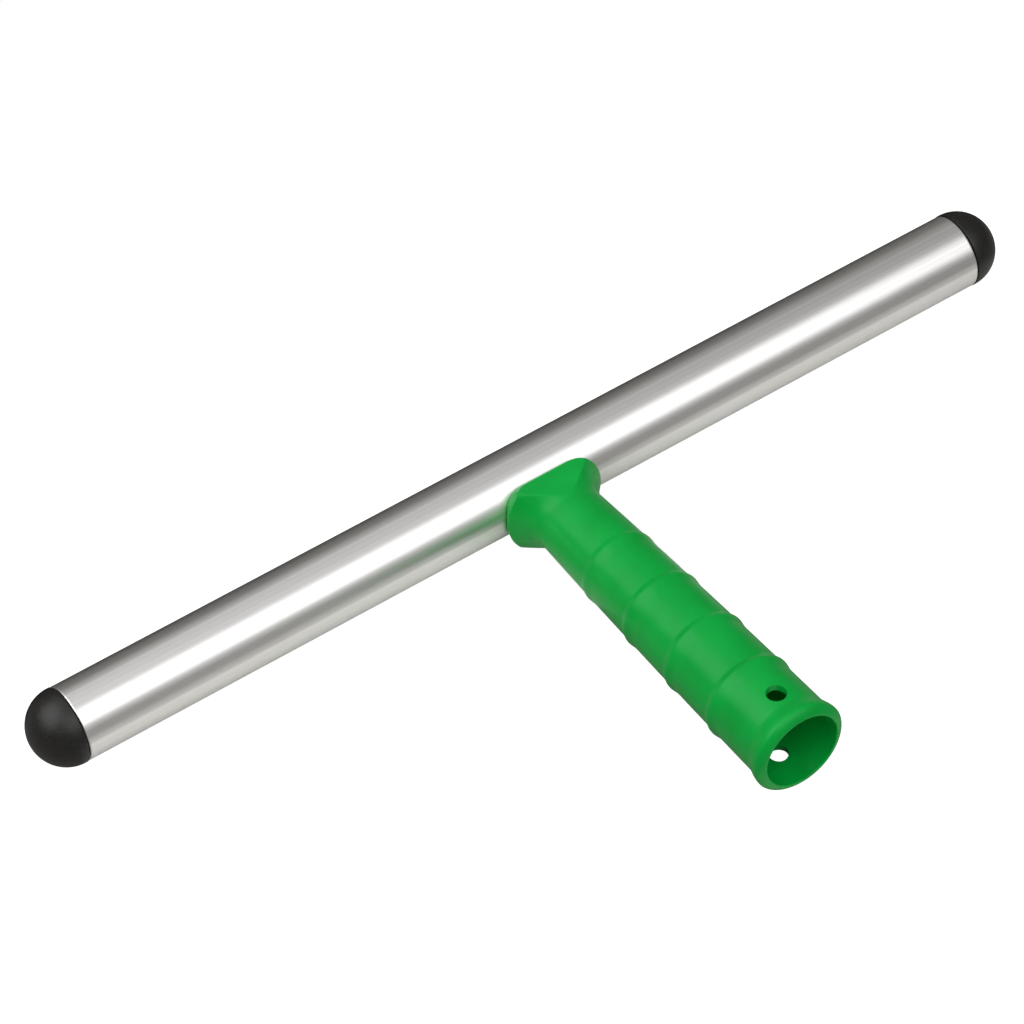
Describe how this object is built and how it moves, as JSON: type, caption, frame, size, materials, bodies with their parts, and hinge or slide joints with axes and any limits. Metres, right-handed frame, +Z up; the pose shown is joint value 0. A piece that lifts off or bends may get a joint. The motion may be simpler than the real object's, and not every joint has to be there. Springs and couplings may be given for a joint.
{
  "type": "window washer t-bar",
  "caption": "Window-cleaning T-bar: aluminium tube with rounded end plugs on a ridged plastic handle with a saddle, a flared lip and an open tapered pole socket.",
  "frame": {"origin": "bottom centre of the bounding box, on the surface that the tool lies on", "axes": "+X along the tube, -Y along the handle towards the pole socket's mouth, +Z up"},
  "size_m": [0.378, 0.1612, 0.0332],
  "materials": {
    "drawn_aluminium": "drawn, with fine lines along the tube",
    "green_plastic": "semi-matt moulded plastic",
    "black_plastic": "matt, faintly speckled",
    "zinc_plated_steel": "zinc plated"
  },
  "bodies": {
    "root": {"tube": "drawn_aluminium", "end_plug_left": "black_plastic", "end_plug_right": "black_plastic", "handle": "green_plastic", "fixing_screw": "zinc_plated_steel", "screw_washer": "zinc_plated_steel", "threaded_insert": "zinc_plated_steel"}
  },
  "joints": []
}
